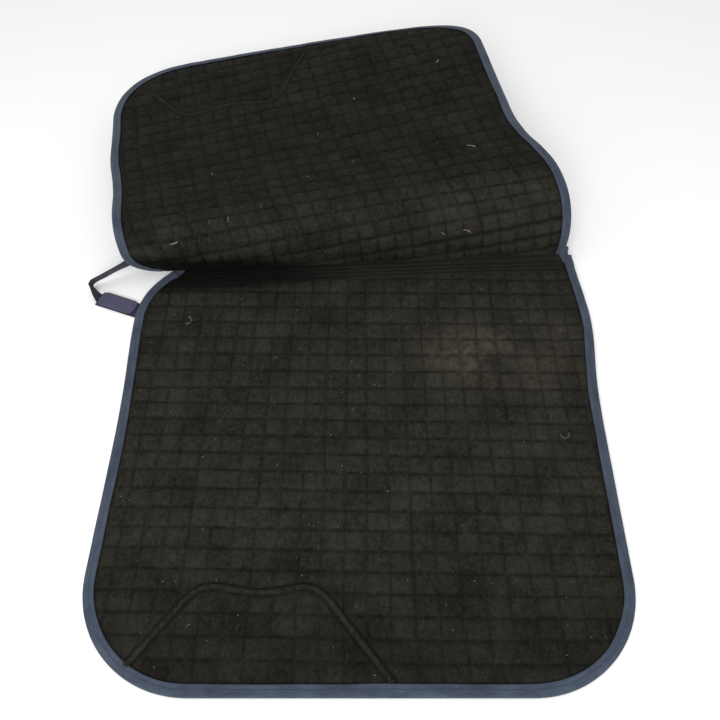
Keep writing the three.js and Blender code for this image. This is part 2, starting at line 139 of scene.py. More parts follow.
def rear_x(depth):
    return REAR_EDGE + REAR_FLARE * bump(depth, REAR_FLARE_DEPTH, REAR_FLARE_SPREAD)


def depth_at(x, away, slant):
    """Depth at which the line parallel to the spine at this distance crosses x."""
    return (away - x * math.sin(slant)) / math.cos(slant)


def crossing(edge_x, away, slant):
    """Depth at which an edge meets the line parallel to the spine at this distance."""
    depth = depth_at(edge_x(0.8 * away + 60), away, slant)
    for _ in range(8):
        depth = depth_at(edge_x(depth), away, slant)
    return float(depth)


def edge_gap(x, depth, shoulder):
    """Distance in from a panel's outline, good enough near the outline."""
    gap = np.minimum(x - front_x(depth, shoulder), rear_x(depth) - x)
    gap = np.minimum(gap, DROP - depth)
    for inward, edge, radius in ((1, FRONT_EDGE, FRONT_CORNER), (-1, REAR_EDGE, REAR_CORNER)):
        over_x = (edge + inward * radius - x) * inward
        over_depth = depth - (DROP - radius)
        in_corner = (over_x > 0) & (over_depth > 0)
        corner_gap = radius - np.hypot(over_x, over_depth)
        gap = np.where(in_corner, np.minimum(gap, corner_gap), gap)
    return gap


def corner_arc(side, edge, radius, turn):
    """The arc of a lower corner; side is -1 at the front and 1 at the rear."""
    x = edge - side * radius + side * radius * np.cos(turn)
    depth = DROP - radius + radius * np.sin(turn)
    return np.stack([x, depth], -1)


def outline(shoulder, away, slant, step=3.0):
    """The panel's outline from the front end of its cut at the spine to the rear end."""
    def front_edge_x(depth):
        return front_x(depth, shoulder)

    start = crossing(front_edge_x, away, slant)
    depths = np.arange(start, DROP - FRONT_CORNER, step)
    front = np.stack([front_edge_x(depths), depths], -1)
    turn = np.arange(0, math.pi / 2, step / FRONT_CORNER)
    front_corner = corner_arc(-1, FRONT_EDGE, FRONT_CORNER, turn)
    across = np.arange(FRONT_EDGE + FRONT_CORNER, REAR_EDGE - REAR_CORNER, step)
    lower = np.stack([across, np.full(len(across), DROP)], -1)
    turn = np.arange(math.pi / 2, 0, -step / REAR_CORNER)
    rear_corner = corner_arc(1, REAR_EDGE, REAR_CORNER, turn)
    depths = np.arange(DROP - REAR_CORNER, crossing(rear_x, away, slant), -step)
    rear = np.stack([rear_x(depths), depths], -1)
    return smooth_path(np.concatenate([front, front_corner, lower, rear_corner, rear]))


def smooth_path(points, rounds=6):
    """The path with its corners softened; both ends stay."""
    path = points.copy()
    for _ in range(rounds):
        path[1:-1] = 0.5 * path[1:-1] + 0.25 * (path[:-2] + path[2:])
    return path


def path_frames(path):
    """Distance along a path of panel points, and the direction that leads into the panel."""
    tangent = np.gradient(path, axis=0)
    size = np.hypot(tangent[:, 0], tangent[:, 1])
    tangent = tangent / size[:, None]
    inward = np.stack([tangent[:, 1], -tangent[:, 0]], -1)
    steps = np.hypot(*np.diff(path, axis=0).T)
    return np.concatenate([[0], np.cumsum(steps)]), inward


# ---- where a panel lies ----------------------------------------------------------------------

def walk(profile):
    """Run, sideways drift and rise of the far panel at each millimetre of its length."""
    middle = np.arange(0, 700) + 0.5
    slope = np.radians(np.interp(middle, *zip(*profile)))
    turn = np.radians(np.interp(middle, *zip(*SWING)))
    steps = np.stack([
        np.cos(slope) * np.cos(turn), np.cos(slope) * np.sin(turn), np.sin(slope)], -1)
    return np.concatenate([np.zeros((1, 3)), np.cumsum(steps, axis=0)])


FRONT_WALK = walk(FRONT_PROFILE)
REAR_WALK = walk(REAR_PROFILE)


def lining_point(along, at):
    """A point of the far panel's lining, along the hinge and at a length from it."""
    share = ((along - FRONT_EDGE) / (REAR_EDGE - FRONT_EDGE))[:, None]
    length = np.arange(701)
    at = np.maximum(at, 0)
    front = np.stack([np.interp(at, length, FRONT_WALK[:, i]) for i in range(3)], -1)
    rear = np.stack([np.interp(at, length, REAR_WALK[:, i]) for i in range(3)], -1)
    run, drift, rise = (front + share * (rear - front)).T
    return (
        (FAR_SHIFT + along + drift)[:, None] * ALONG
        + (TAPE_HALF + run)[:, None] * ACROSS
        + (LINING_TOP + rise)[:, None] * UP
    )


def far_coordinates(x, depth):
    """Place along the hinge, and length from it, of a point of the far panel."""
    along = x * math.cos(FAR_SLANT) - depth * math.sin(FAR_SLANT)
    away = x * math.sin(FAR_SLANT) + depth * math.cos(FAR_SLANT)
    return along, away - TAPE_HALF


def far_place(x, depth, height):
    """Metres in space of points of the far panel."""
    along, at = far_coordinates(x, depth)
    probe = 3.0
    point = lining_point(along, at)
    across_step = lining_point(along + probe, at) - lining_point(along - probe, at)
    length_step = lining_point(along, at + probe) - lining_point(along, at - probe)
    normal = np.cross(across_step, length_step)
    normal /= np.linalg.norm(normal, axis=1)[:, None]
    return (point + normal * (height - LINING_TOP)[:, None]) * MM


def near_place(x, depth, height):
    return np.stack([x, -depth, height], -1) * MM


def spine_place(along, across, height):
    return (along[:, None] * ALONG + across[:, None] * ACROSS + height[:, None] * UP) * MM


# ---- meshes ----------------------------------------------------------------------------------

def make_object(name, points, faces, material, uv=None, floats=None):
    """A smooth-shaded mesh object; uv is per point, in metres on the cloth."""
    mesh = bpy.data.meshes.new(name)
    mesh.from_pydata(points.tolist(), [], [tuple(face) for face in faces])
    if uv is not None:
        layer = mesh.uv_layers.new(name="cloth")
        corners = np.empty(len(mesh.loops), dtype=np.int32)
        mesh.loops.foreach_get("vertex_index", corners)
        layer.data.foreach_set("uv", uv[corners].astype(np.float32).ravel())
    for key, values in (floats or {}).items():
        attribute = mesh.attributes.new(key, "FLOAT", "POINT")
        attribute.data.foreach_set("value", np.asarray(values, dtype=np.float32))
    mesh.shade_smooth()
    mesh.materials.append(material)
    piece = bpy.data.objects.new(name, mesh)
    bpy.context.collection.objects.link(piece)
    return piece


def grid_faces(rows, columns, closed_columns=False):
    """Quads of a grid of points stored row by row."""
    row, column = np.meshgrid(np.arange(rows - 1), np.arange(columns), indexing="ij")
    if not closed_columns:
        row = row[:, :-1]
        column = column[:, :-1]
    after = (column + 1) % columns
    a = row * columns + column
    b = row * columns + after
    return np.stack([a, b, b + columns, a + columns], -1).reshape(-1, 4)


def sweep_object(name, material, path, section, place, lip_wave=0.0, seed=1):
    """Sweeps a closed section of (inward distance, height) points along a panel path."""
    distance, inward = path_frames(path)
    section = np.array(section)
    wave = lip_wave * smooth_noise(distance, distance * 0, 38.0, seed)
    reach = section[None, :, 0] * (1 + 0.05 * wave[:, None])
    x = path[:, None, 0] + inward[:, None, 0] * reach
    depth = path[:, None, 1] + inward[:, None, 1] * reach
    lift = 0.35 * lip_wave * smooth_noise(distance * 1.7, distance * 0, 30.0, seed + 1)
    height = section[None, :, 1] + lift[:, None] * (section[None, :, 1] > LINING_TOP)
    points = place(x.ravel(), depth.ravel(), height.ravel())
    around = np.concatenate([[0], np.cumsum(np.hypot(*np.diff(section, axis=0).T))])
    uv = np.stack(np.broadcast_arrays(distance[:, None], around[None, :]), -1).reshape(-1, 2)
    faces = grid_faces(len(path), len(section), closed_columns=True).tolist()
    last = (len(path) - 1) * len(section)
    faces.append(list(range(len(section) - 1, -1, -1)))
    faces.append([last + i for i in range(len(section))])
    return make_object(name, points, faces, material, uv * MM)


# ---- quilting --------------------------------------------------------------------------------

class Quilt:
    """A quilting pattern: where its stitched lines run, and how full each square is.

    rows, columns, lean and tilt are tables of (depth, value): the count of stitched rows at
    a depth, the place of the first column there, and how far a row climbs per millimetre of x.
    """

    def __init__(self, seed, puff, welt_line, pitch, rows, columns, lean, tilt):
        self.seed = seed
        self.welt_line = welt_line
        self.puff = puff
        self.pitch = pitch
        self.rows = rows
        self.columns = columns
        self.lean = lean
        self.tilt = tilt

    def counts(self, x, depth):
        """Columns and rows counted from the first line of each."""
        wander = 0.7 * smooth_noise(x, depth, 70, self.seed + 5)
        first = np.interp(depth, *zip(*self.columns)) - self.lean * (x + 165) * np.maximum(depth - 90, 0)
        column = (x + wander - first) / self.pitch
        sway = 1.3 * smooth_noise(x, depth, 110, self.seed + 6)
        level = depth + sway - x * np.interp(depth, *zip(*self.tilt))
        row = np.interp(level, *zip(*self.rows))
        return column, row

    def relief(self, x, depth):
        """Height above the stitched level, closeness to stitching, and each square's own tone."""
        column, row = self.counts(x, depth)
        across = column - np.floor(column)
        down = row - np.floor(row)
        edge_across = np.minimum(across, 1 - across) * STITCH
        edge_down = np.minimum(down, 1 - down) * STITCH
        cell = np.floor(column).astype(int) * 37 + np.floor(row).astype(int) * 101
        rng = np.random.default_rng(self.seed)
        fullness, slump, tone = rng.uniform((0.7, -0.5, 0), (1.2, 0.7, 1), (997, 3))[cell % 997].T
        pillow = (1 - np.abs(2 * across - 1) ** 3) * (1 - np.abs(2 * down - 1) ** 3)
        pillow = pillow ** 0.75 * (1 + slump * (down - 0.5) - 0.6 * slump * (across - 0.5))
        # Row lines are drawn wider than column lines; in the lining's colour they mark stitching and the
        # painted shade of the stitched grooves.
        row_line = np.exp(-((edge_down / 1.9) ** 2))
        broken = 0.7 + 0.3 * smooth_noise(x * 1.7, depth * 0.6, 9, self.seed + 8)
        stitch = np.maximum(0.8 * np.exp(-((edge_across / 1.25) ** 2)), row_line) * broken
        return pillow * fullness, np.clip(stitch, 0, 1), tone


NEAR_QUILT = Quilt(
    seed=11, puff=2.8, welt_line=0.85, pitch=STITCH,
    rows=[(-40, -3), (41, 0), (205, 6), (589, 21.4)],
    columns=[(0, 12), (600, 12)], lean=-0.000085,
    tilt=[(0, 0.012), (205, 0.008), (260, 0.02), (600, 0.014)])
FAR_QUILT = Quilt(
    seed=23, puff=3.9, welt_line=0.5, pitch=24.8,
    rows=[(-120, -6), (8, -2), (40, -1), (74, 0), (99, 1), (145, 3), (206, 6), (259, 8), (346, 11),
          (488, 16), (589, 19.4)],
    columns=[(0, 22), (85, 22), (180, 11), (300, 16), (510, 5), (600, 5)], lean=0.0,
    tilt=[(0, 0.13), (40, 0.105), (74, 0.065), (122, 0.01), (183, 0.05), (290, 0.085),
          (410, 0.04), (500, 0.03)])

NEAR_WELT = [(-264, 558), (-196, 468), (-125, 481), (-66, 468), (19, 575)]
FLAP_WELT = [(-273, 526), (-207, 421), (-136, 438), (-62, 415), (4, 542)]


def rounded_path(corners, reach, step=3.0):
    """Straight runs between corners, joined by curves that start this far from each corner."""
    corners = [np.array(corner, dtype=float) for corner in corners]
    pieces = [corners[0][None, :]]
    for before, corner, after in zip(corners, corners[1:], corners[2:]):
        start = corner + (before - corner) * reach / np.linalg.norm(before - corner)
        end = corner + (after - corner) * reach / np.linalg.norm(after - corner)
        t = np.linspace(0, 1, 9)[:, None]
        pieces.append((1 - t) ** 2 * start + 2 * t * (1 - t) * corner + t**2 * end)
    pieces.append(corners[-1][None, :])
    rough = np.concatenate(pieces)
    length = np.concatenate([[0], np.cumsum(np.hypot(*np.diff(rough, axis=0).T))])
    even = np.linspace(0, length[-1], int(length[-1] / step) + 1)
    return np.stack([np.interp(even, length, rough[:, i]) for i in range(2)], -1)


WELT_PATHS = {NEAR_QUILT: rounded_path(NEAR_WELT, 24.0), FAR_QUILT: rounded_path(FLAP_WELT, 24.0)}


def distance_to_path(x, depth, path):
    best = np.full(np.shape(x), 1e9)
    for a, b in zip(path[:-1:2], path[2::2]):
        run = b - a
        t = ((x - a[0]) * run[0] + (depth - a[1]) * run[1]) / (run @ run)
        t = np.clip(t, 0, 1)
        best = np.minimum(best, np.hypot(x - a[0] - t * run[0], depth - a[1] - t * run[1]))
    return best


def crease(x, depth, quilt):
    """The rows of stitching nearest the hinge lie in deep folds of the far panel's roll."""
    row = quilt.counts(x, depth)[1]
    nearest = np.minimum(np.round(row), -1)
    return np.exp(-(((row - nearest) * STITCH / 3.4) ** 2)) * np.clip((x + 110) / 130, 0, 1)


def lining_height(x, depth, quilt, gap):
    """Height of the lining's upper face, closeness to stitching and folds (which also marks their
    painted shade), and each square's tone.
    """
    pillow, stitch, tone = quilt.relief(x, depth)
    rumple = 0.5 * smooth_noise(x, depth, 60, quilt.seed + 2)
    rumple += 0.35 * smooth_noise(x * 1.3, depth, 17, quilt.seed + 3)
    rumple += 0.2 * smooth_noise(x, depth * 1.5, 8, quilt.seed + 4)
    height = LINING_TOP - 2.1 + quilt.puff * pillow - 0.8 * stitch + rumple
    welt = distance_to_path(x, depth, WELT_PATHS[quilt])
    flat = np.exp(-((welt / 8) ** 4))
    groove = np.exp(-(((welt - 4.6) / 1.4) ** 2))
    height = height * (1 - flat) + (LINING_TOP - 0.4) * flat - 0.9 * groove
    stitch = np.maximum(stitch * (1 - flat), quilt.welt_line * groove)
    held = np.exp(-((np.maximum(gap - BINDING_WIDTH, 0) / 7) ** 2))
    height = height * (1 - held) + (LINING_TOP - 0.9) * held
    # The binding's seam: stitching, and painted shade where the lining meets the binding.
    stitch = np.maximum(stitch, 0.8 * np.exp(-(((gap - BINDING_WIDTH) / 1.6) ** 2)))
    if quilt is FAR_QUILT:
        fold = crease(x, depth, quilt)
        height = height - 3.2 * fold
        # Painted shade: the roll's folds are darkened in their creases.
        stitch = np.maximum(stitch, 0.75 * fold)
        at_hinge = np.exp(-((far_coordinates(x, depth)[1] / 5) ** 2))
        height = height * (1 - at_hinge) + (LINING_TOP + 0.6) * at_hinge
        height = np.maximum(height, SHELL_LOW + 2.6)
    else:
        height = height - 1.6 * np.clip((14 - depth - SPINE_SLOPE * x) / 6, 0, 1)
    return height, np.clip(stitch, 0, 1), tone


def panel_sheet(name, material, shoulder, away, slant, place, heights, spacing, upward):
    """An open sheet of cloth over a whole panel; heights gives each point's height."""
    xs = np.arange(FRONT_EDGE - SHEET_MARGIN, REAR_EDGE + SHEET_MARGIN, spacing)
    depths = np.arange(SHEET_TOP, DROP, spacing)
    depth, x = np.meshgrid(depths, xs, indexing="ij")
    x = x.ravel()
    depth = depth.ravel()
    gap = edge_gap(x, depth, shoulder)
    start = depth_at(x, away, slant)
    inside = (gap > 3.0) & (depth > start - spacing)
    faces = grid_faces(len(depths), len(xs))
    faces = faces[inside[faces].all(axis=1)]
    used = np.unique(faces)
    renumber = np.zeros(len(x), dtype=int)
    renumber[used] = np.arange(len(used))
    faces = renumber[faces]
    x, depth, gap, start = x[used], depth[used], gap[used], start[used]
    depth = np.maximum(depth, start)
    height, floats = heights(x, depth, gap)
    points = place(x, depth, height)
    turned = upward if place is far_place else not upward
    if not turned:
        faces = faces[:, ::-1]
    uv = np.stack([x, depth], -1) * MM
    return make_object(name, points, faces, material, uv, floats)


def lining_heights(quilt):
    """What panel_sheet asks of a lining: dust is paler cloth; the stitch value marks stitching and the
    painted shade of grooves and folds; the last value is painted shade, darkening the cloth under the
    roll's overhang and towards the lower edges.
    """
    def heights(x, depth, gap):
        height, stitch, tone = lining_height(x, depth, quilt, gap)
        if quilt is NEAR_QUILT:
            dust = bump(x, 165, 120) * bump(depth, 140, 62)
            dust = dust * (0.75 + 0.7 * smooth_noise(x, depth, 42, 91))
            from_tape = np.maximum(depth + SPINE_SLOPE * x - TAPE_HALF, 0)
            # Painted shadow: the lining along the tape at the front, under the roll's overhang, is
            # darkened.
            fresh = np.clip((-40 - x) / 150, 0, 1) * np.exp(-((from_tape / 9) ** 2))
            # Painted shade: the near panel is darker towards its lower edge.
            fresh = np.maximum(fresh, 0.38 * np.clip((depth - 400) / 150, 0, 1))
        else:
            dust = 0.22 * np.clip((x - 20) / 120, 0, 1) * np.clip((150 - depth) / 60, 0, 1)
            # Painted shadow on the underside of the roll at the front.
            roll_shadow = np.clip((60 - 0.25 * (x + 130) - depth) / 16, 0, 1)
            fresh = roll_shadow * np.clip((-60 - x) / 90, 0, 1)
            # Painted shade: the flap is darker beyond the roll.
            fresh = np.maximum(fresh, 0.38 * np.clip((depth - 120) / 50, 0, 1))
        return height, {"stitch": stitch, "dust": np.clip(dust, 0, 1), "tone": tone, "fresh": fresh}

    return heights


def shell_heights(quilt):
    """What panel_sheet asks of an outer shell, whose squares puff downwards."""
    def heights(x, depth, _gap):
        pillow, stitch, tone = quilt.relief(x, depth)
        height = SHELL_LOW + 1.3 - 1.2 * pillow + 0.2 * stitch
        return height, {"stitch": stitch, "dust": 0 * x, "tone": tone, "fresh": 0 * x}

    return heights


# ---- materials -------------------------------------------------------------------------------

class Nodes:
    """Short calls that add shader nodes and wire them up."""

    def __init__(self, name, laid_out=True):
        self.laid_out = laid_out
        self.material = bpy.data.materials.new(name)
        self.material.use_nodes = True
        self.tree = self.material.node_tree
        self.shader = self.tree.nodes["Principled BSDF"]

    def add(self, kind, **settings):
        node = self.tree.nodes.new(kind)
        for key, value in settings.items():
            setattr(node, key, value)
        return node

    def feed(self, socket, value):
        if isinstance(value, bpy.types.NodeSocket):
            self.tree.links.new(value, socket)
        else:
            socket.default_value = value

    def cloth(self):
        """Metres on the cloth, or in space for a piece that has no cloth layout."""
        if self.laid_out:
            return self.add("ShaderNodeUVMap", uv_map="cloth").outputs[0]
        return self.add("ShaderNodeTexCoord").outputs["Object"]

    def stretch(self, vector, scale):
        node = self.add("ShaderNodeMapping")
        self.feed(node.inputs["Vector"], vector)
        node.inputs["Scale"].default_value = scale
        return node.outputs[0]

    def noise(self, vector, scale, detail=3.0, roughness=0.55):
        node = self.add("ShaderNodeTexNoise")
        self.feed(node.inputs["Vector"], vector)
        node.inputs["Scale"].default_value = scale
        node.inputs["Detail"].default_value = detail
        node.inputs["Roughness"].default_value = roughness
        return node.outputs[0]

    def wave(self, vector, scale, direction="X"):
        node = self.add("ShaderNodeTexWave", bands_direction=direction)
        self.feed(node.inputs["Vector"], vector)
        node.inputs["Scale"].default_value = scale
        return node.outputs["Fac"]

    def value(self, key):
        return self.add("ShaderNodeAttribute", attribute_name=key).outputs["Fac"]

    def math(self, operation, a, b=0.0, c=0.0):
        node = self.add("ShaderNodeMath", operation=operation)
        for socket, value in zip(node.inputs, (a, b, c)):
            self.feed(socket, value)
        return node.outputs[0]

    def ramp(self, value, low, high):
        """0 below low, 1 above high."""
        node = self.add("ShaderNodeMapRange", clamp=True)
        self.feed(node.inputs["Value"], value)
        node.inputs["From Min"].default_value = low
        node.inputs["From Max"].default_value = high
        return node.outputs[0]

    def mix(self, share, first, second):
        node = self.add("ShaderNodeMix", data_type="RGBA")
        self.feed(node.inputs[0], share)
        for socket, colour in ((node.inputs[6], first), (node.inputs[7], second)):
            self.feed(socket, colour if isinstance(colour, bpy.types.NodeSocket) else (*colour, 1))
        return node.outputs[2]

    def finish(self, colour, roughness, height, distance, sheen=0.0):
        """Sets the shader; distance is how deep, in metres, the relief of height is."""
        self.feed(self.shader.inputs["Base Color"], colour)
        self.feed(self.shader.inputs["Roughness"], roughness)
        self.shader.inputs["Specular IOR Level"].default_value = 0.12
        self.shader.inputs["Sheen Weight"].default_value = sheen
        self.shader.inputs["Sheen Roughness"].default_value = 0.5
        node = self.add("ShaderNodeBump")
        node.inputs["Distance"].default_value = distance
        self.feed(node.inputs["Height"], height)
        self.feed(self.shader.inputs["Normal"], node.outputs[0])
        return self.material


def napped_cotton(name, dark, worn, dust):
    """Brushed cotton: twill lines, nap, lint-paled patches and dust, dark stitching with painted shade
    in its grooves and folds, and painted shade where the cloth lies in shadow.
    """
    n = Nodes(name)
    cloth = n.cloth()
    twill = n.wave(n.stretch(cloth, (1, 1.4, 1)), 520, "DIAGONAL")
    nap = n.noise(n.stretch(cloth, (1, 0.55, 1)), 900, 4)
    fleck = n.noise(n.stretch(cloth, (1, 0.8, 1)), 330, 6, 0.8)
    streak = n.noise(n.stretch(cloth, (1.35, 0.8, 1)), 130, 5, 0.75)
    patches = n.noise(cloth, 16, 5, 0.65)
    fade = n.math("MULTIPLY_ADD", fleck, 0.55, n.math("MULTIPLY", streak, 0.45))
    fade = n.math("MULTIPLY_ADD", n.math("SUBTRACT", patches, 0.5), 0.45, fade)
    fade = n.math("MULTIPLY_ADD", n.math("SUBTRACT", n.value("tone"), 0.5), 0.045, fade)
    colour = n.mix(n.ramp(fade, 0.40, 0.64), dark, worn)
    lint = n.math("MULTIPLY", n.ramp(fleck, 0.63, 0.74), 0.45)
    colour = n.mix(lint, colour, tuple(2.2 * v for v in worn))
    dusty = n.math("MULTIPLY", n.value("dust"), n.ramp(n.noise(cloth, 75, 5, 0.7), 0.3, 0.7))
    colour = n.mix(dusty, colour, dust)
    brown = n.ramp(n.noise(cloth, 9.0, 3, 0.5), 0.64, 0.78)
    colour = n.mix(n.math("MULTIPLY", brown, 0.35), colour, (0.022, 0.015, 0.008))
    black = tuple(0.14 * v for v in dark)
    # Stitching, and painted shade in the grooves, folds and binding seam, darken the cloth.
    colour = n.mix(n.math("MULTIPLY", n.value("stitch"), 0.8), colour, black)
    # Painted shade: this value darkens the cloth nearly to black where it lies in shadow.
    colour = n.mix(n.math("MULTIPLY", n.value("fresh"), 0.92), colour, black)
    height = n.math("MULTIPLY_ADD", twill, 0.3, n.math("MULTIPLY", nap, 0.8))
    height = n.math("MULTIPLY_ADD", streak, 1.1, height)
    return n.finish(colour, 0.95, height, 0.0003)


def woven_tape(name, dark, worn, rib_scale, stitch_at=None, laid_out=True):
    """Woven tape: fine ribs, threads, faded patches, and a line of stitches if asked."""
    n = Nodes(name, laid_out)
    cloth = n.cloth()
    ribs = n.wave(cloth, rib_scale, "X")
    threads = n.noise(n.stretch(cloth, (0.25, 1, 1)), 1500, 2)
    patches = n.noise(n.stretch(cloth, (1, 2.5, 1)), 22, 4, 0.65)
    scuffs = n.noise(n.stretch(cloth, (0.4, 2, 1)), 240, 4, 0.7)
    fade = n.math("MULTIPLY_ADD", patches, 0.7, n.math("MULTIPLY", scuffs, 0.3))
    colour = n.mix(n.ramp(fade, 0.36, 0.66), dark, worn)
    colour = n.mix(n.math("MULTIPLY", ribs, 0.16), colour, tuple(0.45 * v for v in dark))
    height = n.math("MULTIPLY_ADD", threads, 0.5, ribs)
    if stitch_at is not None:
        split = n.add("ShaderNodeSeparateXYZ")
        n.feed(split.inputs[0], cloth)
        off = n.math("ABSOLUTE", n.math("SUBTRACT", split.outputs[1], stitch_at * MM))
        line = n.math("SUBTRACT", 1.0, n.ramp(off, 0.0004, 0.0009))
        dash = n.ramp(n.math("SINE", n.math("MULTIPLY", split.outputs[0], 2100)), -0.3, 0.3)
        height = n.math("SUBTRACT", height, n.math("MULTIPLY", line, 3.0))
        colour = n.mix(n.math("MULTIPLY", line, 0.4), colour, tuple(0.5 * v for v in dark))
        colour = n.mix(n.math("MULTIPLY", n.math("MULTIPLY", line, dash), 0.5), colour, worn)
    return n.finish(colour, 0.85, height, 0.00016, sheen=0.08)


def pile_tape(name, dark, pale):
    """Worn loop pile: soft tufts that catch the light."""
    n = Nodes(name)
    cloth = n.cloth()
    tufts = n.noise(cloth, 1300, 4, 0.7)
    matted = n.noise(cloth, 160, 4, 0.6)
    fade = n.ramp(n.math("MULTIPLY_ADD", tufts, 0.6, n.math("MULTIPLY", matted, 0.4)), 0.35, 0.66)
    colour = n.mix(fade, dark, pale)
    return n.finish(colour, 0.95, tufts, 0.0005, sheen=0.25)


def fibre(name, colour):
    """Pale lint."""
    n = Nodes(name)
    vary = n.noise(n.add("ShaderNodeTexCoord").outputs["Object"], 60, 2)
    pale = n.mix(n.ramp(vary, 0.35, 0.65), colour, tuple(0.55 * v for v in colour))
    return n.finish(pale, 0.7, vary, 0.0001)


def stitched_shell(name, dark, worn, laid_out=True):
    """The outer cotton: plain weave with stitched lines."""
    n = Nodes(name, laid_out)
    cloth = n.cloth()
    weave = n.math("ADD", n.wave(cloth, 620, "X"), n.wave(cloth, 620, "Y"))
    patches = n.noise(cloth, 18, 4, 0.6)
    colour = n.mix(n.ramp(patches, 0.35, 0.68), dark, worn)
    # The stitch value darkens the stitched lines and paints shade in their grooves.
    colour = n.mix(n.math("MULTIPLY", n.value("stitch"), 0.6), colour, tuple(0.3 * v for v in dark))
    return n.finish(colour, 0.88, weave, 0.00012, sheen=0.05)


COTTON = napped_cotton("black_cotton", (0.0070, 0.0066, 0.0048), (0.0265, 0.0254, 0.0196),
                       (0.058, 0.050, 0.036))
RIBBED = napped_cotton("ribbed_cotton", (0.0078, 0.0076, 0.0060), (0.0165, 0.0160, 0.0132),
                       (0.03, 0.026, 0.02))
SHELL_DARK = (0.007, 0.010, 0.024)
SHELL_WORN = (0.015, 0.020, 0.042)
SHELL = stitched_shell("navy_shell", SHELL_DARK, SHELL_WORN)
PLAIN_SHELL = stitched_shell("navy_shell_plain", SHELL_DARK, SHELL_WORN, laid_out=False)
BINDING = woven_tape("navy_binding", (0.028, 0.038, 0.059), (0.064, 0.081, 0.114), 420,
                     stitch_at=27.2)
WEBBING_DARK = (0.010, 0.0105, 0.020)
WEBBING_WORN = (0.034, 0.034, 0.056)
WEBBING = woven_tape("navy_webbing", WEBBING_DARK, WEBBING_WORN, 300)
PLAIN_WEBBING = woven_tape("navy_webbing_plain", WEBBING_DARK, WEBBING_WORN, 300, laid_out=False)
PILE = pile_tape("loop_pile", (0.034, 0.033, 0.062), (0.072, 0.070, 0.130))
HOOKS = pile_tape("hook_tape", (0.008, 0.008, 0.016), (0.02, 0.02, 0.034))
LINT = fibre("lint", (0.42, 0.39, 0.31))


# ---- panels ----------------------------------------------------------------------------------


def bend_with_flap(piece):
    """Bakes the piece's transform into its mesh; the piece keeps the shape it was built with."""
    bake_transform(piece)


def binding_section():
    """The folded tape round a panel's edge, from its outer lip over the edge to its inner lip."""
    low, high = 1.5, 10.3
    wide = BINDING_WIDTH
    return [
        (wide, low + 0.9), (wide, low), (7, low - 0.1), (2.2, low), (0.6, low + 1.2),
        (0, 4.4), (0, 7.4), (0.5, high - 1.1), (1.8, high - 0.2), (4.5, high + 0.1),
        (8, high - 0.1), (10.4, high - 0.25), (wide - 0.5, high - 0.1), (wide, high - 0.6),
        (wide, high - 1.3), (6, high - 1.2), (1.6, high - 2.2), (1.2, 5.8), (1.6, low + 1.6),
    ]


def bend_with_roll(piece):
    """Bakes the piece's transform into its mesh; the piece keeps the shape it was built with."""
    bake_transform(piece)


def add_near_panel():
    lining = panel_sheet("near_quilted_lining", COTTON, NEAR_SHOULDER, -TAPE_HALF, NEAR_SLANT,
                         near_place, lining_heights(NEAR_QUILT), LINING_STEP, True)
    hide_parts("near_lining", "near_wadding")
    shell = panel_sheet("near_quilted_shell", SHELL, NEAR_SHOULDER, -TAPE_HALF, NEAR_SLANT,
                        near_place, shell_heights(NEAR_QUILT), SHELL_STEP, False)
    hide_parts("near_shell")
    path = outline(NEAR_SHOULDER, -TAPE_HALF, NEAR_SLANT)
    binding = sweep_object("near_edge_binding", BINDING, path, binding_section(), near_place,
                           lip_wave=0.9, seed=31)
    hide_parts("near_binding")
    for piece, slot in ((lining, "black_cotton"), (shell, "navy_shell"),
                        (binding, "navy_binding")):
        bend_with_roll(piece)
    welt = add_welt("near_welt_piping", NEAR_QUILT, near_place, 3.4, 2.6)
    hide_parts("near_welt")
    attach(welt, "near_panel")


def add_far_panel():
    lining = panel_sheet("far_quilted_lining", COTTON, FAR_SHOULDER, TAPE_HALF, FAR_SLANT,
                         far_place, lining_heights(FAR_QUILT), LINING_STEP, True)
    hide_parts("roll_lining", "roll_wadding", "flap_lining", "flap_wadding")
    shell = panel_sheet("far_quilted_shell", SHELL, FAR_SHOULDER, TAPE_HALF, FAR_SLANT,
                        far_place, shell_heights(FAR_QUILT), SHELL_STEP, False)
    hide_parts("roll_shell", "flap_shell")
    path = outline(FAR_SHOULDER, TAPE_HALF, FAR_SLANT)
    binding = sweep_object("far_edge_binding", BINDING, path, binding_section(), far_place,
                           lip_wave=0.9, seed=47)
    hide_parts("roll_front_binding", "roll_rear_binding", "flap_binding")
    for piece, slot in ((lining, "black_cotton"), (shell, "navy_shell"),
                        (binding, "navy_binding")):
        bend_with_flap(piece)
    welt = add_welt("far_welt_piping", FAR_QUILT, far_place, 2.8, 1.0)
    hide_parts("flap_welt")
    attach(welt, "flap")


def add_welt(name, quilt, place, half, rise):
    """The raised welt: a rounded cord of cloth."""
    low = LINING_TOP - 1.2
    turn = np.linspace(math.pi, 0, 9)
    section = [(half * math.cos(a), low + (rise + 1.2) * math.sin(a) ** 0.7) for a in turn]
    path = smooth_path(WELT_PATHS[quilt][::-1], 3)
    return sweep_object(name, COTTON, path, section, place, lip_wave=0.7, seed=13)


# ---- the spine tape --------------------------------------------------------------------------

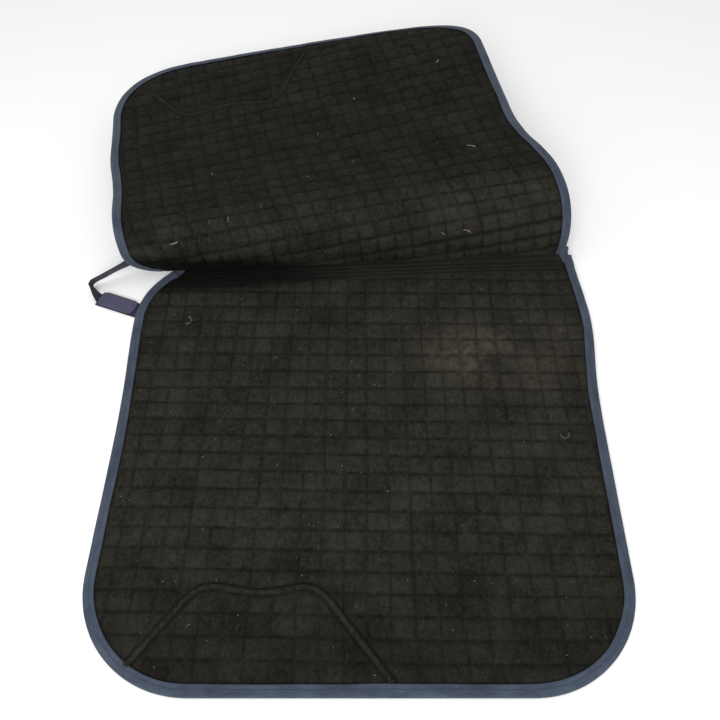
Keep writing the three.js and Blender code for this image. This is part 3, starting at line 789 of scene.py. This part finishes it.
def add_spine_tape():
    """A ribbed tape over the spine; its far half lifts on to the roll towards the rear."""
    length = np.arange(-277.0, 277.0, 2.5)
    across = np.linspace(-TAPE_HALF, TAPE_HALF + 0.6, 61)
    along, side = np.meshgrid(length, across, indexing="ij")
    share = (side + TAPE_HALF) / (2 * TAPE_HALF)
    rib = np.abs(np.sin(share * math.pi * 4.5)) ** 0.6
    rear = np.clip((along + 60) / 330, 0, 1)
    lift = 7.0 * rear * np.clip((side - 3) / 13, 0, 1) ** 1.5
    sway = 2.2 * smooth_noise(along, 0 * along, 55, 62) * (1 - share)
    pucker = 0.45 * smooth_noise(along, side, 9, 61) + 0.3 * smooth_noise(along, side, 30, 63)
    height = 9.4 + 1.5 * rib + lift + pucker
    height = height - 1.6 * (share < 0.02)
    points = spine_place(along.ravel(), (side + sway).ravel(), height.ravel())
    faces = grid_faces(len(length), len(across))
    uv = np.stack([along.ravel(), side.ravel()], -1) * MM
    # Painted shadow: the tape darkens towards its front end, under the roll's overhang.
    front = np.clip((-30 - along.ravel()) / 110, 0, 1)
    # On the tape the stitch value paints shade in the valleys between the ribs.
    floats = {"stitch": 0.65 * (1 - rib.ravel()) ** 1.5, "dust": 0 * front, "tone": 0.5 + 0 * front,
              "fresh": front}
    tape = make_object("ribbed_spine_tape", points, faces, RIBBED, uv, floats)
    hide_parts("spine_tape")
    bend_with_roll(tape)


def add_binding_folds():
    """Where each end of the spine's binding creases between the two panels."""
    stations = {
        "rear_binding_fold": [
            (277, 29.0, 27, 1, 0.1, 0), (277.5, 27.5, 17, 1, 0.2, 0.3), (281, 24.5, 10, 0.9, 0.3, 0.5),
            (286, 19, 7.0, 1, 0.2, 0.2), (287, 10, 6.4, 1, 0, 0)],
        "front_binding_fold": [
            (-296, -9, 6.2, 0.65, -0.75, 0), (-288, -2, 6.6, 0.7, -0.7, 0),
            (-283, 6, 8, 0.9, -0.4, -0.2), (-293, 9, 10, 0.3, -0.6, -0.7),
            (-306, 4, 14, 0.2, -0.5, -0.8), (-317, -0.5, 19, 0.15, -0.45, -0.85)],
    }
    for name, places in stations.items():
        fold = ribbon(name, BINDING, places, BINDING_WIDTH, 7.0, 40)
        bend_with_roll(fold)


# ---- the front strap -------------------------------------------------------------------------

def spline(stations, count):
    """A smooth curve through stations (rows of numbers), as count rows."""
    stations = np.array(stations, dtype=float)
    padded = np.concatenate([
        2 * stations[:1] - stations[1:2], stations, 2 * stations[-1:] - stations[-2:-1]])
    place = np.linspace(0, len(stations) - 1 - 1e-9, count)
    i = place.astype(int)
    t = (place - i)[:, None]
    p0, p1, p2, p3 = padded[i], padded[i + 1], padded[i + 2], padded[i + 3]
    return 0.5 * (2 * p1 + (p2 - p0) * t + (2 * p0 - 5 * p1 + 4 * p2 - p3) * t**2
                  + (3 * p1 - p0 - 3 * p2 + p3) * t**3)


def ribbon(name, material, stations, width, thickness, count=60):
    """A band through stations of (x, y, z, width direction x, y, z), in millimetres."""
    rows = spline(stations, count)
    centre = rows[:, :3]
    side = rows[:, 3:]
    forward = np.gradient(centre, axis=0)
    forward /= np.linalg.norm(forward, axis=1)[:, None]
    side = side - (side * forward).sum(1)[:, None] * forward
    side /= np.linalg.norm(side, axis=1)[:, None]
    normal = np.cross(forward, side)
    turn = np.linspace(0, 2 * math.pi, 20, endpoint=False)
    u = np.sign(np.cos(turn)) * np.abs(np.cos(turn)) ** 0.35 * width / 2
    v = np.sin(turn) * thickness / 2
    points = centre[:, None] + side[:, None] * u[None, :, None] + normal[:, None] * v[None, :, None]
    distance = np.concatenate([[0], np.cumsum(np.linalg.norm(np.diff(centre, axis=0), axis=1))])
    uv = np.stack(np.broadcast_arrays(distance[:, None], u[None, :]), -1).reshape(-1, 2)
    faces = grid_faces(count, len(turn), closed_columns=True).tolist()
    faces.append(list(range(len(turn) - 1, -1, -1)))
    faces.append([(count - 1) * len(turn) + i for i in range(len(turn))])
    return make_object(name, points.reshape(-1, 3) * MM, faces, material, uv * MM)


TAB_END = np.array([-340.0, -67.0])
TAB_DIRECTION = np.array([-0.934, 0.357])
TAB_ACROSS = (TAB_DIRECTION[1], -TAB_DIRECTION[0], 0.0)
TAB_LENGTH = 57.0
WEBBING_WIDTH = 25.0
WEBBING_THICK = 1.3


def tab_station(distance, height):
    """A ribbon station at a distance from the tab's inner end."""
    x, y = TAB_END + TAB_DIRECTION * distance
    return (x, y, height, *TAB_ACROSS)


def tab_plate(name, material, low, high, width, start, end, crown):
    """A flat piece with both ends rounded, its upper face slightly domed and uneven."""
    columns = np.linspace(start, end, 48)
    shares = np.linspace(-1, 1, 21)
    along, share = np.meshgrid(columns, shares, indexing="ij")
    near_end = np.minimum(along - start, end - along)
    reach = np.clip(near_end / (width * 0.34), 0, 1)
    half = width / 2 * (0.45 + 0.55 * np.sqrt(1 - (1 - reach) ** 2))
    across = share * half
    edge = np.minimum(1 - np.abs(share), np.clip(near_end / 4, 0, 1))
    top = low + (high - low) * np.clip(edge * 6, 0, 1) ** 0.5
    top = top + crown * edge * (1 + 0.5 * smooth_noise(along, across, 5, 71))
    bottom = np.full_like(top, low)
    upper = tab_points(along, across, top)
    lower = tab_points(along, across, bottom)
    rows, count = along.shape
    faces = grid_faces(rows, count)
    rim = np.concatenate([
        np.arange(count), np.arange(1, rows) * count + count - 1,
        (rows - 1) * count + np.arange(count - 2, -1, -1), np.arange(rows - 2, 0, -1) * count])
    after = np.roll(rim, -1)
    size = rows * count
    walls = np.stack([rim, rim + size, after + size, after], -1)
    faces = np.concatenate([faces, faces[:, ::-1] + size, walls])
    points = np.concatenate([upper, lower]) * MM
    uv = np.tile(np.stack([along.ravel(), across.ravel()], -1), (2, 1)) * MM
    return make_object(name, points, faces, material, uv)


def tab_points(along, across, height):
    """Points in space from places along and across the tab."""
    x = TAB_END[0] + TAB_DIRECTION[0] * along + TAB_ACROSS[0] * across
    y = TAB_END[1] + TAB_DIRECTION[1] * along + TAB_ACROSS[1] * across
    return np.stack([x.ravel(), y.ravel(), height.ravel()], -1)


def add_strap():
    """The strap: its sewn band, its twisted free band, and the tab that lies on its hooks."""
    sewn = ribbon("near_strap_band", WEBBING, [
        tab_station(-62, 0.7), tab_station(-30, 0.7), tab_station(0, 0.7),
        tab_station(30, 0.8), tab_station(TAB_LENGTH + 2, 0.9)], WEBBING_WIDTH, WEBBING_THICK)
    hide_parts("near_strap_webbing")
    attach(sewn, "near_panel")
    free = ribbon("free_strap_band", WEBBING, [
        tab_station(TAB_LENGTH - 5, 1.9), (-397, -43, 5.5, 0.15, 0.78, -0.6),
        (-404, -35, 9.5, -0.1, 0.7, -0.7), (-407.5, -29, 12.5, -0.05, 0.62, -0.78),
        (-403, -24.5, 15.5, 0.1, 0.6, -0.79), (-392, -20, 19, 0.18, 0.61, -0.77),
        (-376, -14, 25, 0.18, 0.61, -0.77), (-360, -9, 31, 0.2, 0.55, -0.8),
        (-347, -4, 36, 0.3, 0.5, -0.8)], WEBBING_WIDTH - 1, WEBBING_THICK, 110)
    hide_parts("far_strap_webbing")
    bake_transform(free)
    hooks = tab_plate("hook_strip", HOOKS, 1.5, 2.3, WEBBING_WIDTH - 3, 3, TAB_LENGTH - 2, 0.1)
    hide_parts("hook_tape")
    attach(hooks, "near_panel")
    back = tab_plate("tab_band", WEBBING, 2.6, 3.8, WEBBING_WIDTH, 0, TAB_LENGTH, 0.1)
    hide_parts("strap_tab")
    pile = tab_plate("tab_pile", PILE, 4.0, 5.2, WEBBING_WIDTH, 0, TAB_LENGTH, 0.5)
    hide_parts("loop_tape")
    for piece in (back, pile):
        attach(piece, "strap_tab")


# ---- lint and hairs --------------------------------------------------------------------------

def hair_tube(curve, radius):
    """Points and faces of a thin four-sided tube along a curve, in metres."""
    forward = np.gradient(curve, axis=0)
    forward /= np.linalg.norm(forward, axis=1)[:, None]
    side = np.cross(forward, UP)
    side /= np.maximum(np.linalg.norm(side, axis=1), 1e-6)[:, None]
    rise = np.cross(side, forward)
    corners = [(1, 0), (0, 1), (-1, 0), (0, -1)]
    rings = [curve + radius * (u * side + v * rise) for u, v in corners]
    points = np.stack(rings, 1).reshape(-1, 3)
    faces = grid_faces(len(curve), 4, closed_columns=True).tolist()
    faces.append([3, 2, 1, 0])
    last = 4 * (len(curve) - 1)
    faces.append([last, last + 1, last + 2, last + 3])
    return points, faces


def lint_curve(place, quilt, shoulder, x, depth, length, heading, curl):
    """A fibre lying on the lining."""
    t = np.linspace(-0.5, 0.5, 7)
    angle = heading + curl * t
    px = x + np.cumsum(np.cos(angle)) * length / 7
    pd = depth + np.cumsum(np.sin(angle)) * length / 7
    height = lining_height(px, pd, quilt, edge_gap(px, pd, shoulder))[0]
    return place(px, pd, height + 0.25)


def add_lint(name, place, quilt, shoulder, special, count, seed, from_depth):
    """Scattered specks and hairs, and the few larger ones, as one mesh."""
    rng = np.random.default_rng(seed)
    fibres = []
    while len(fibres) < count:
        x = rng.uniform(FRONT_EDGE + 20, REAR_EDGE - 20)
        depth = rng.uniform(from_depth, DROP - 20)
        if edge_gap(np.array([x]), np.array([depth]), shoulder)[0] < 20:
            continue
        speck = rng.uniform() < 0.8
        length = rng.uniform(0.5, 1.5) if speck else rng.uniform(3, 9)
        radius = rng.uniform(0.1, 0.34) if speck else rng.uniform(0.05, 0.09)
        fibres.append((x, depth, length, rng.uniform(0, math.pi), rng.uniform(-2.5, 2.5), radius))
    points = []
    faces = []
    total = 0
    for x, depth, length, heading, curl, radius in fibres + special:
        curve = lint_curve(place, quilt, shoulder, x, depth, length, heading, curl)
        tube, tube_faces = hair_tube(curve, radius * MM)
        points.append(tube)
        faces += [[i + total for i in face] for face in tube_faces]
        total += len(tube)
    piece = make_object(name, np.concatenate(points), faces, LINT)
    return piece


# The larger ones: x, depth, length, heading, curl and radius.
NEAR_HAIRS = [
    (241, 270, 26, 2.6, 4.0, 0.13), (-262, 84, 11, 0.9, 0.5, 0.22), (-257, 92, 9, 2.2, 0.8, 0.2),
    (-265, 97, 7, 0.2, 0.8, 0.2), (34, 3, 15, 0.8, 4.5, 0.2), (30, 6, 12, 2.4, 3.5, 0.18),
]
FAR_HAIRS = [
    (-265, 114, 12, 0.05, 0.5, 0.6), (205, 205, 15, 2.5, 0.3, 0.33), (206, 433, 9, 0.7, 0.9, 0.6),
    (-183, 240, 11, 1.5, 0.3, 0.35), (-178, 130, 9, 1.4, 0.5, 0.3), (62, 382, 6, 1.6, 0.8, 0.4),
    (155, 60, 14, 2.6, 1.5, 0.35), (118, 62, 9, 2.2, 1.2, 0.25), (-10, 300, 16, 1.4, 0.6, 0.15),
]


def add_all_lint():
    near = add_lint("near_lint", near_place, NEAR_QUILT, NEAR_SHOULDER, NEAR_HAIRS, 190, 5, 25)
    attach(near, "near_panel")
    far = add_lint("far_lint", far_place, FAR_QUILT, FAR_SHOULDER, FAR_HAIRS, 130, 6, 60)
    bend_with_flap(far)


# ---- CAD nodes that stay ---------------------------------------------------------------------

def give(node, material):
    """A CAD node keeps its shape and takes a material that works without a cloth layout."""
    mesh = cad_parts[node].data
    mesh.materials.clear()
    mesh.materials.append(material)


def dress_cad_nodes():
    for node in ("near_girth_patch", "flap_girth_patch", "outer_spine_tape"):
        give(node, PLAIN_SHELL)
    for node in ("near_girth_keeper", "flap_girth_keeper", "far_strap_anchor"):
        give(node, PLAIN_WEBBING)


# ---- floor, light and camera -----------------------------------------------------------------

def add_floor():
    bpy.ops.mesh.primitive_plane_add(size=30, location=(0, 0, -0.0005))
    floor = bpy.context.object
    floor.name = "floor"
    n = Nodes("pale_floor")
    n.shader.inputs["Base Color"].default_value = (0.86, 0.86, 0.86, 1)
    n.shader.inputs["Roughness"].default_value = 0.9
    floor.data.materials.append(n.material)


def add_light(name, location, target, size, power):
    data = bpy.data.lights.new(name, "AREA")
    data.shape = "DISK"
    data.size = size
    data.energy = power
    light = bpy.data.objects.new(name, data)
    light.location = location
    direction = Vector(target) - Vector(location)
    light.rotation_euler = direction.to_track_quat("-Z", "Y").to_euler()
    bpy.context.collection.objects.link(light)


def add_lights():
    world = bpy.data.worlds.new("studio")
    world.use_nodes = True
    world.node_tree.nodes["Background"].inputs["Color"].default_value = (1, 1, 1, 1)
    world.node_tree.nodes["Background"].inputs["Strength"].default_value = 0.7
    bpy.context.scene.world = world
    bpy.context.scene.view_settings.view_transform = "Standard"
    add_light("front_softbox", (-0.3, -1.9, 1.6), (0, 0, 0), 1.3, 40)
    add_light("overhead", (-0.2, -0.4, 2.2), (0, -0.2, 0), 1.6, 12)


def add_camera():
    """The camera stands in front of the near panel's lower edge and looks down at the pad."""
    data = bpy.data.cameras.new("camera")
    data.sensor_width = 36
    data.lens = 40
    data.shift_x = -0.0208
    camera = bpy.data.objects.new("camera", data)
    camera.location = (0, -0.788, 0.882)
    downward = math.radians(54.29)
    camera.rotation_euler = (math.pi / 2 - downward, 0, 0)
    bpy.context.collection.objects.link(camera)
    bpy.context.scene.camera = camera


add_near_panel()
add_far_panel()
add_spine_tape()
add_binding_folds()
add_strap()
add_all_lint()
dress_cad_nodes()
add_floor()
add_lights()
add_camera()
